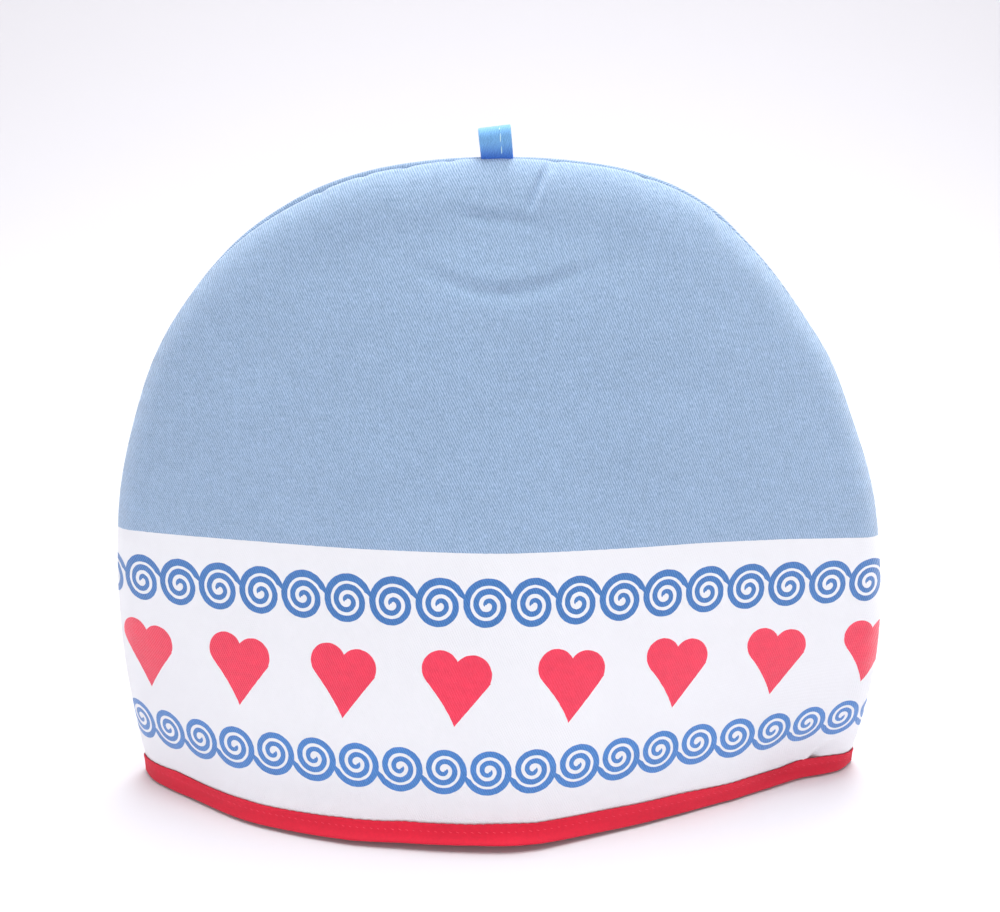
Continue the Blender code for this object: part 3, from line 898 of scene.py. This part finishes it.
def makePanel(name, panel, grid, materials):
    layers = rimLayers()
    last = len(layers) - 1
    bm, across, up, layer = panelShell(grid, last)
    onSeam = np.minimum(np.minimum(across, 1.0 - across), 1.0 - up) < 0.0001
    x, y, z = np.zeros((3, len(across)))
    for index, (inset, depth, foot) in enumerate(layers):
        mine = layer == index
        sides = Outline(inset).patchSides(foot)
        place = patchPoints(sides, crowded(across[mine], panelCut["crowdAcross"]),
                            crowded(up[mine], panelCut["crowdUp"]))
        x[mine], z[mine] = place.T
        share = index / last
        y[mine] = panel.outer(*place.T) * (1.0 - share) + panel.inner(*place.T) * share
        y[mine & onSeam] = depth
    u, v = clothMap(panel, x, z)
    toSeam, _, outwards = seam.find(x, z)
    movedX, movedZ = dropFront(x, z) if panel.isFront else (x, z)
    moveVerts(bm, placed(movedX, panel.sign * y, movedZ))
    beyond = panelCut["overEdge"] * (1.0 - np.minimum(toSeam / cosy["shoulderWidth"], 1.0))
    edge = np.array(layers)[:, :2]
    beyond += np.where(onSeam, (lengthsAlong(edge) + edge[:, 0])[layer], 0.0)
    writeMap(bm, u + outwards[:, 0] * beyond, v + outwards[:, 1] * beyond)
    made = finishedObject(bm, name, materials)
    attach(made, "root")
    return made


# The red strip folded round the hem
binding = {
    "clearance": 0.15,
    "cloth": 0.8,
    "height": 9.0,
    "arcSteps": 420,         # round each panel
    "runLine": (3.0, 1.0),   # the length round is taken at this height, this far out
    "stitchLine": 6.0,       # height of the topstitching
    "stitchShares": (0.16, 0.6, 0.06),  # of the swell, the edge's rise and the lift there
    "stitchDip": 0.08,
    "stitchPitch": 3.0,
    "stitchEnds": 4.0,       # none so near the corners
    "stitchLength": 1.9,
    "stitchRadius": 0.11,
    "stitchSlant": 24.0,
    "stitchSteps": 1200,
    "scallop": 0.32,         # the upper edge between the stitches
    "scallopPitch": 3.7,
    "scallopMean": 0.6,      # the middle of an arch, which leaves the edge at its height
    "scallopStrength": 0.55,
    # unevenness: how much, over how long, and its seed
    "scallopDrift": (1.4, 26.0, 21),
    "scallopChange": (0.45, 31.0, 22),
    "edgeWave": (0.18, 9.0, 23),
    "backRise": (0.3, 40.0, 25),
    "backPuffChange": (0.3, 30.0, 26),
    "stitchWander": (0.12, 7.0, 31),
    "backPuff": 1.6,         # the cloth swells below the stitching
    "cornerPuff": (0.5, 145.0, 15.0),  # and less at the back's corners: how much, from where, how soon
    "cornerRise": (0.7, 150.0, 10.0),  # the upper edge rises there
    "innerPuff": 0.6,
    "innerRise": 0.3,        # share of the outer edge's rise
    "leastInside": 0.2,      # from the plane between the panels
    "liftFlare": 1.0,        # how far the lower edge goes out for each millimetre off the table
    "colour": linear(236, 32, 62),
    "weave": (0.34, 0.16, 0.08),  # thread pitch, bump and sheen
    "threadColour": linear(248, 80, 103),
    # painted shade along the cloth, as darker bands: a shadow line at the upper edge, the lower swell toned
    # down where it faces the light, and the hidden underside darkened: from, to, softness and tone
    "paintedShadeBands": ((8.0, 9.0, 0.3, 0.6), (12.5, 17.5, 2.5, 0.91), (18.6, 24.0, 0.8, 0.4)),
}
# Along the front: place across, how far the upper edge rises, how far the lower edge swells
# and how far it stands off the table
bindingRun = (
    (-161.0, 1.4, 0.7, 0.0), (-152.0, 1.6, 1.5, 0.0), (-143.0, 2.2, 1.8, 0.0), (-130.0, 0.9, 1.7, 0.2),
    (-116.0, 0.4, 1.6, 0.4), (-95.0, 0.1, 1.8, 0.81), (-60.0, 0.0, 2.6, 1.41), (-40.0, 0.9, 1.6, 2.22),
    (-10.0, 1.0, 1.5, 2.82), (5.0, 0.9, 2.3, 2.71), (15.0, 0.3, 2.6, 2.22), (30.0, 0.5, 2.0, 1.51),
    (50.0, 1.0, 1.7, 0.81), (70.0, 1.3, 1.1, 0.5), (82.0, 1.2, 1.1, 0.31), (95.0, 0.1, 1.2, 0.2),
    (108.0, -0.3, 2.1, 0.0), (119.0, -1.3, 3.8, 0.0), (126.0, -1.3, 3.9, 0.0), (131.5, -0.2, 3.5, 0.0),
    (137.5, 1.2, 3.1, 0.0), (141.0, 0.9, 3.2, 0.0), (147.0, 0.9, 3.2, 0.0), (154.0, 0.6, 2.6, 0.0),
    (161.0, 0.3, 0.9, 0.0),
)


def outerWall(panel, angles, z, clearance):
    def plan(turn):
        turn = np.clip(turn, -math.pi / 2.0, math.pi / 2.0)
        half, middle = outerLine.halfWidthAndMiddle(z)
        x = middle + half * np.sin(turn)
        return x, panel.sign * panel.outer(x, np.full_like(x, z), relief=False)

    step = 0.02  # radians
    x, y = plan(angles)
    xBefore, yBefore = plan(angles - step)
    xAfter, yAfter = plan(angles + step)
    length = np.hypot(xAfter - xBefore, yAfter - yBefore)
    aside = -panel.sign * (yAfter - yBefore) / length
    out = panel.sign * (xAfter - xBefore) / length
    corner = np.isclose(np.abs(angles), math.pi / 2.0)
    aside = np.where(corner, np.sign(angles), aside)
    out = np.where(corner, 0.0, out)
    return x + aside * clearance, y + out * clearance


def innerCleared(panel, x, z, clearance):
    level = np.full_like(x, z)
    slope = panel.inner(x + 0.5, level) - panel.inner(x - 0.5, level)
    return panel.inner(x, level) - clearance * np.hypot(1.0, slope)


def innerReach(z, clearance):
    half, middle = innerLine.halfWidthAndMiddle(z)
    reaches = []
    steps = np.arange(0.0, half, 0.1)
    for direction in (-1.0, 1.0):
        x = middle + direction * (half - steps)
        nearest = np.minimum(*[innerCleared(panel, x, z, clearance) for panel in panels])
        reaches.append(half - steps[np.argmax(nearest >= binding["leastInside"])])
    return middle, reaches


def innerWall(panel, angles, z, clearance):
    middle, (left, right) = innerReach(z, clearance)
    x = middle + np.where(angles > 0.0, right, left) * np.sin(angles)
    y = innerCleared(panel, x, z, clearance)
    y = np.where(np.isclose(np.abs(angles), math.pi / 2.0), binding["leastInside"], y)
    return x, panel.sign * y


def ringTurns(steps):  # round the front from the left, then round the back from the right
    sweep = math.pi * np.arange(steps + 1) / steps - math.pi / 2.0
    return [(panels[0], sweep), (panels[1], -sweep)]


def bindingSection():  # wall, distance out, height, shares of the swell, the edge's rise and the lift
    near = binding["clearance"]
    far = near + binding["cloth"]
    top = binding["height"]
    line = binding["stitchLine"]
    dip = binding["stitchDip"]
    rows = [
        (near, 1.0, 0.0, 0.0, 0.0),
        (near, top - 1.2, 0.0, 0.6, 0.0),
        (near + 0.03, top - 0.15, 0.0, 1.0, 0.0),
        (near + 0.25, top + 0.05, 0.0, 1.0, 0.0),
        (far - 0.3, top - 0.15, 0.0, 1.0, 0.0),
        (far - 0.1, top - 0.6, 0.0, 1.0, 0.0),
        (far, top - 1.4, 0.0, 0.9, 0.0),
        (far - 0.04, line + 1.2, 0.05, 0.8, 0.0),
        (far - 0.1, line + 0.6, 0.1, 0.7, 0.02),
        (far - dip, line, *binding["stitchShares"]),
        (far - 0.05, line - 0.6, 0.22, 0.5, 0.13),
        (far, line - 1.4, 0.34, 0.3, 0.25),
        (far, 3.7, 0.52, 0.1, 0.44),
        (far, 2.8, 0.76, 0.0, 0.7),
        (far, 2.1, 0.92, 0.0, 0.9),
        (far, 1.5, 1.0, 0.0, 1.0),
        (far, 1.0, 0.93, 0.0, 1.0),
        (far - 0.2, 0.75, 0.74, 0.0, 0.92),
        (far - 0.5, 0.6, 0.45, 0.0, 0.75),
        (far - 0.9, 0.45, 0.2, 0.0, 0.5),
        (far - 1.3, 0.3, 0.05, 0.0, 0.2),
        (far - 1.8, 0.0, 0.0, 0.0, 0.0),
    ]
    outside = [(outerWall, *row) for row in rows]
    inside = [(innerWall, *row) for row in reversed(rows)]
    return outside + inside


def edgeRise(along):  # scallops between the stitches and slow waves
    drift = softWave(along, *binding["scallopDrift"])
    arch = np.abs(np.sin(math.pi * (along + drift) / binding["scallopPitch"]))
    strength = binding["scallopStrength"] + softWave(along, *binding["scallopChange"])
    scallops = binding["scallop"] * (arch - binding["scallopMean"]) * strength
    return scallops + softWave(along, *binding["edgeWave"])


def nearCorners(x, amount, start, reach):
    return amount * smoothStep((np.abs(x) - start) / reach)


def runValues(panel, sweep, wall):  # rise, swell and lift at each angle round a panel
    x, _ = outerWall(panel, sweep, *binding["runLine"])
    if panel.isFront:
        run = np.array(bindingRun)
        rise, swell, lift = (np.interp(x, run[:, 0], run[:, i]) for i in (1, 2, 3))
    else:
        rise = softWave(x, *binding["backRise"]) + nearCorners(x, *binding["cornerRise"])
        swell = binding["backPuff"] * (1.0 + softWave(x, *binding["backPuffChange"]))
        swell = swell * (1.0 - nearCorners(x, *binding["cornerPuff"]))
        lift = np.zeros_like(x)
    if wall is innerWall:
        return rise * binding["innerRise"], np.full_like(x, binding["innerPuff"]), np.zeros_like(x)
    return rise, swell, lift


def bindingRow(panel, sweep, row, scallops):  # places in millimetres, before they are set down
    wall, stand, height, swellShare, riseShare, liftShare = row
    rise, swell, lift = runValues(panel, sweep, wall)
    x, y = wall(panel, sweep, height, stand)
    if swellShare > 0.0:
        farX, farY = wall(panel, sweep, height, stand + 1.0)
        out = (swell + lift * binding["liftFlare"]) * swellShare
        x = x + (farX - x) * out
        y = y + (farY - y) * out
    return x, y, height + riseShare * (rise + scallops * riseShare ** 3) + lift * liftShare


def makeBinding(material):
    section = bindingSection()
    turns = ringTurns(binding["arcSteps"])
    base = np.hstack([outerWall(panel, sweep, *binding["runLine"]) for panel, sweep in turns])
    along = lengthsAlong(base.T)
    scallops = np.split(edgeRise(along), [binding["arcSteps"] + 1])
    rowPlaces = []
    for row in section:
        parts = [bindingRow(panel, sweep, row, part) for (panel, sweep), part in zip(turns, scallops)]
        rowPlaces.append(placed(*np.hstack(parts)))
    rowPlaces = np.array(rowPlaces)
    down = np.linalg.norm(np.diff(rowPlaces, axis=0), axis=2).mean(axis=1) / mm
    columns = len(along)
    bm, across, up = gridWithShares(columns, len(section))
    i = np.round(across * columns).astype(int)
    j = np.round(up * len(section)).astype(int)
    moveVerts(bm, rowPlaces[j % len(section), i % columns])
    u = np.append(along, along[-1] + 1.0)[i]  # the ring closes over one more millimetre of cloth
    v = np.cumsum([0.0, *down, 3.0])[j]       # and the strip's two edges meet over three
    writeMap(bm, u, v)
    bmesh.ops.remove_doubles(bm, verts=bm.verts[:], dist=0.001 * mm)
    made = finishedObject(bm, "hemBinding", [material])
    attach(made, "root")
    return made, along[-1]


def makeStitches(name, places, directions, radius, length, material):
    bm = bmesh.new()
    size = Matrix.Diagonal((radius * mm, radius * mm, length / 2.0 * mm, 1.0))
    for place, direction in zip(places, directions):
        turn = Vector(direction).to_track_quat("Z", "Y").to_matrix().to_4x4()
        bmesh.ops.create_uvsphere(bm, u_segments=8, v_segments=6, radius=1.0,
                                  matrix=Matrix.Translation(place) @ turn @ size)
    made = finishedObject(bm, name, [material])
    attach(made, "root")
    return made


def makeTopstitch(material):
    places = []
    directions = []
    slant = math.tan(math.radians(binding["stitchSlant"]))
    stand = binding["clearance"] + binding["cloth"] - binding["stitchRadius"]
    ends = binding["stitchEnds"]
    for wall in (outerWall, innerWall):
        row = (wall, stand, binding["stitchLine"], *binding["stitchShares"])
        for panel, sweep in ringTurns(binding["stitchSteps"]):
            line = np.column_stack(bindingRow(panel, sweep, row, np.zeros(len(sweep))))
            along = lengthsAlong(line[:, :2])
            marks = np.arange(ends, along[-1] - ends, binding["stitchPitch"])
            x, y, z = (np.interp(marks, along, part) for part in line.T)
            dx = np.gradient(x)
            dy = np.gradient(y)
            places.append(placed(x, y, z + softWave(marks, *binding["stitchWander"])))
            directions.append(np.column_stack((dx, dy, -slant * np.sign(dx) * np.hypot(dx, dy))))
    return makeStitches("hemTopstitch", np.vstack(places), np.vstack(directions), binding["stitchRadius"],
                        binding["stitchLength"], material)


# The folded tape in the top seam
tape = {
    "width": 12.3,
    "thickness": 1.0,
    "softEdge": 0.1,          # lost from the width where the edges round off
    "halfGap": 0.2,           # between its two ends in the seam
    "foot": 266.0,            # heights where it starts, leaves the seam and is widest
    "neck": 271.0,
    "bulgeHeight": 278.1,
    "bulge": 3.2,
    "footX": -1.1,
    "topShift": -1.0,         # it leans to the left and its top slants
    "topSlant": 0.12,
    "columns": 14,
    # painted light: the tape is deeper blue low down, where it is shaded, and paler towards its top, which
    # faces the lamp
    "colour": linear(46, 104, 212),
    "paintedLitTop": linear(124, 184, 238),
    "paintedLightReach": 7.0,         # from the top, down each side
    "paintedLightFade": 6.5,
    "ribPitch": (0.95, 2.1),  # across and along
    "dotPitch": (0.62, 1.3),
    "stitches": (0.0, 4.0, 8.6),  # how far below the top each begins
    "stitchAside": 1.9,       # from the middle
    "stitchLean": 0.06,
    "stitchLength": 3.2,
    "stitchRadius": 0.22,
    "threadColour": linear(205, 238, 248),
}


def loopPath():  # depth and height, from the front foot over the top to the back one
    half = tape["halfGap"] + tape["thickness"] / 2.0
    neck = tape["neck"]
    front = [(-half, tape["foot"]), (-half, (tape["foot"] + neck) / 2.0), (-half, neck)]
    front.append((-(half + tape["bulge"]) / 2.0, (neck + tape["bulgeHeight"]) / 2.0))
    turn = np.linspace(0.0, math.pi, 11)
    over = np.column_stack((-np.cos(turn), np.sin(turn))) * tape["bulge"] + (0.0, tape["bulgeHeight"])
    back = [(-y, z) for y, z in reversed(front)]
    return smoothCurve(np.vstack((front, over, back)), stepsEach=4)


tapePath = loopPath()
tapeLengths = lengthsAlong(tapePath)
loopPathLength = float(tapeLengths[-1])
tapeTop = np.argmax(tapePath[:, 1])


def loopPlace(y, z, aside):
    rise = np.maximum(z - tape["neck"], 0.0) / (tapePath[tapeTop, 1] - tape["neck"])
    x = tape["footX"] + aside + tape["topShift"] * rise
    return placed(x, y, z + tape["topSlant"] * aside * rise)


def makeLoop(material):
    last = len(tapePath) - 1
    bm, across, up = gridWithShares(tape["columns"], last)
    step = np.round(up * last).astype(int)
    aside = (across - 0.5) * (tape["width"] - tape["softEdge"])
    moveVerts(bm, loopPlace(*tapePath[step].T, aside))
    writeMap(bm, aside, tapeLengths[step])
    made = finishedObject(bm, "hangingLoop", [material])
    thicken = made.modifiers.new("thickness", "SOLIDIFY")
    thicken.thickness = tape["thickness"] * mm
    thicken.offset = 0.0
    thicken.use_even_offset = True
    rounded = made.modifiers.new("softEdges", "SUBSURF")
    rounded.levels = 1
    rounded.render_levels = 1
    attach(made, "root")
    return made


def onTapeFront(along, aside):
    y, z = (np.interp(along, tapeLengths[:tapeTop + 1], part) for part in tapePath[:tapeTop + 1].T)
    return loopPlace(y - tape["thickness"] / 2.0, z, aside)


def makeLoopStitches(material):
    marks = tapeLengths[tapeTop] - np.array(tape["stitches"]) - tape["stitchLength"] / 2.0
    step = 0.5
    places = onTapeFront(marks, tape["stitchAside"])
    ahead = onTapeFront(marks + step, tape["stitchAside"] + tape["stitchLean"] * step)
    return makeStitches("loopStitches", places, ahead - places, tape["stitchRadius"], tape["stitchLength"],
                        material)


def blueTape():
    shade = Shade("blueTape")
    u, v = shade.cloth()
    rib = shade.wave(u / tape["ribPitch"][0] - v / tape["ribPitch"][1])
    heather = shade.noise(u, v, 0.9, 3.0, 0.6)
    # painted light: paler towards the loop's lit top, deeper blue towards its shaded feet
    fromTop = (v - loopPathLength / 2.0).math("ABSOLUTE")
    low = ((fromTop - tape["paintedLightReach"]) / tape["paintedLightFade"]).limited()
    colour = shade.mix(low, tape["paintedLitTop"], tape["colour"])
    dots = rib * shade.wave(u / tape["dotPitch"][0] + v / tape["dotPitch"][1])
    tone = 1.07 - dots * 0.38 + (rib - 0.5) * 0.08 + (heather - 0.5) * 0.2
    return shade.finish(shade.lighten(colour, tone), 0.84 - rib * 0.06, rib, 0.2, 0.3)


studio = {
    "lens": 35.95,
    "sensor": 36.0,
    "cameraPlace": (0.0, -0.3939, 0.2767),
    "cameraTilt": 17.53,
    "floor": linear(220, 218, 222),
    "floorSize": (8.0, 6.0),    # metres across and along
    "floorGrid": (24, 60),
    "floorLevel": 0.7,          # behind this it sweeps up
    "floorBend": 1.5,
    "worldColour": (0.95, 0.95, 1.0, 1.0),
    "worldStrength": 0.42,
}
lights = {  # in metres and watts
    "topLight": {"place": (0.12, 0.0, 1.5), "aim": (0.0, 0.0, 0.1), "size": (1.0, 0.8), "power": 27.0},
    "backLight": {"place": (0.0, 0.6, 1.3), "aim": (0.0, 0.0, 0.25), "size": (1.6, 0.5), "power": 4.0},
    "frontLight": {"place": (0.1, -1.5, 0.3), "aim": (0.0, 0.0, 0.1), "size": (1.4, 0.5), "power": 4.5},
    "leftLight": {"place": (-1.5, 0.1, 0.22), "aim": (0.0, 0.0, 0.12), "size": (0.8, 0.8), "power": 5.6},
    "rightLight": {"place": (1.5, 0.0, 0.22), "aim": (0.0, 0.0, 0.12), "size": (0.8, 0.8), "power": 5.1},
    "backdropLeft": {"place": (-1.6, 0.5, 1.5), "aim": (-1.5, 2.4, 0.75), "size": (2.6, 1.0), "power": 18.5},
    "backdropRight": {"place": (1.6, 0.5, 1.5), "aim": (1.5, 2.4, 0.75), "size": (2.6, 1.0), "power": 18.5},
}


def makeFloor():
    shade = Shade("paleFloor")
    grain = shade.noise(*shade.place(2), 6.0, 3.0)
    colour = shade.lighten(studio["floor"], 1.0 + (grain - 0.5) * 0.008)
    material = shade.finish(colour, 0.8 + (grain - 0.5) * 0.1, grain, 0.02, 0.0)
    bm, across, up = gridWithShares(*studio["floorGrid"])
    wide, long = studio["floorSize"]
    bend = studio["floorBend"]
    run = (up - 0.5) * long
    past = run - studio["floorLevel"]
    angle = np.clip(past / bend, 0.0, math.pi / 2.0)
    over = np.maximum(past - bend * math.pi / 2.0, 0.0)
    y = np.minimum(run, studio["floorLevel"]) + bend * np.sin(angle)
    z = bend * (1.0 - np.cos(angle)) + over
    moveVerts(bm, np.column_stack(((across - 0.5) * wide, y, z)))
    floor = finishedObject(bm, "floor", [material])


def makeLight(name, place, aim, size, power):
    data = bpy.data.lights.new(name, "AREA")
    data.shape = "RECTANGLE"
    data.size, data.size_y = size
    data.energy = power
    light = bpy.data.objects.new(name, data)
    light.location = place
    light.rotation_euler = (Vector(aim) - Vector(place)).to_track_quat("-Z", "Y").to_euler()
    bpy.context.scene.collection.objects.link(light)


def makeStudio():
    scene = bpy.context.scene
    scene.view_settings.view_transform = "Standard"
    world = bpy.data.worlds.new("studio")
    world.use_nodes = True
    background = world.node_tree.nodes["Background"]
    background.inputs["Color"].default_value = studio["worldColour"]
    background.inputs["Strength"].default_value = studio["worldStrength"]
    scene.world = world
    for name, light in lights.items():
        makeLight(name, **light)
    data = bpy.data.cameras.new("camera")
    data.lens = studio["lens"]
    data.sensor_width = studio["sensor"]
    data.clip_start = 0.01
    camera = bpy.data.objects.new("camera", data)
    camera.location = studio["cameraPlace"]
    camera.rotation_euler = (math.radians(90.0 - studio["cameraTilt"]), 0.0, 0.0)
    scene.collection.objects.link(camera)
    scene.camera = camera


print("stage: materials")
printedMaterial = printedCotton()
innerMaterial = plainWeave("innerCotton", panelCut["innerColour"], *panelCut["innerWeave"])
redMaterial = plainWeave("redBias", binding["colour"], *binding["weave"], bias=True, paintedShadeBands=binding["paintedShadeBands"])
redThread = thread("redThread", binding["threadColour"])

print("stage: panels")
frontPanel = makePanel("frontPanel", panels[0], panelCut["frontGrid"], [printedMaterial, innerMaterial])
backPanel = makePanel("backPanel", panels[1], panelCut["backGrid"], [printedMaterial, innerMaterial])
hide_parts("front_panel")
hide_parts("back_panel")

print("stage: binding")
hemBinding, hemLength = makeBinding(redMaterial)
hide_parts("hem_binding")
topstitch = makeTopstitch(redThread)

print("stage: loop")
hangingLoop = makeLoop(blueTape())
loopStitches = makeLoopStitches(thread("paleThread", tape["threadColour"]))
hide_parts("hanging_loop")
tape["width"] * mm

print("stage: studio")
makeFloor()
makeStudio()
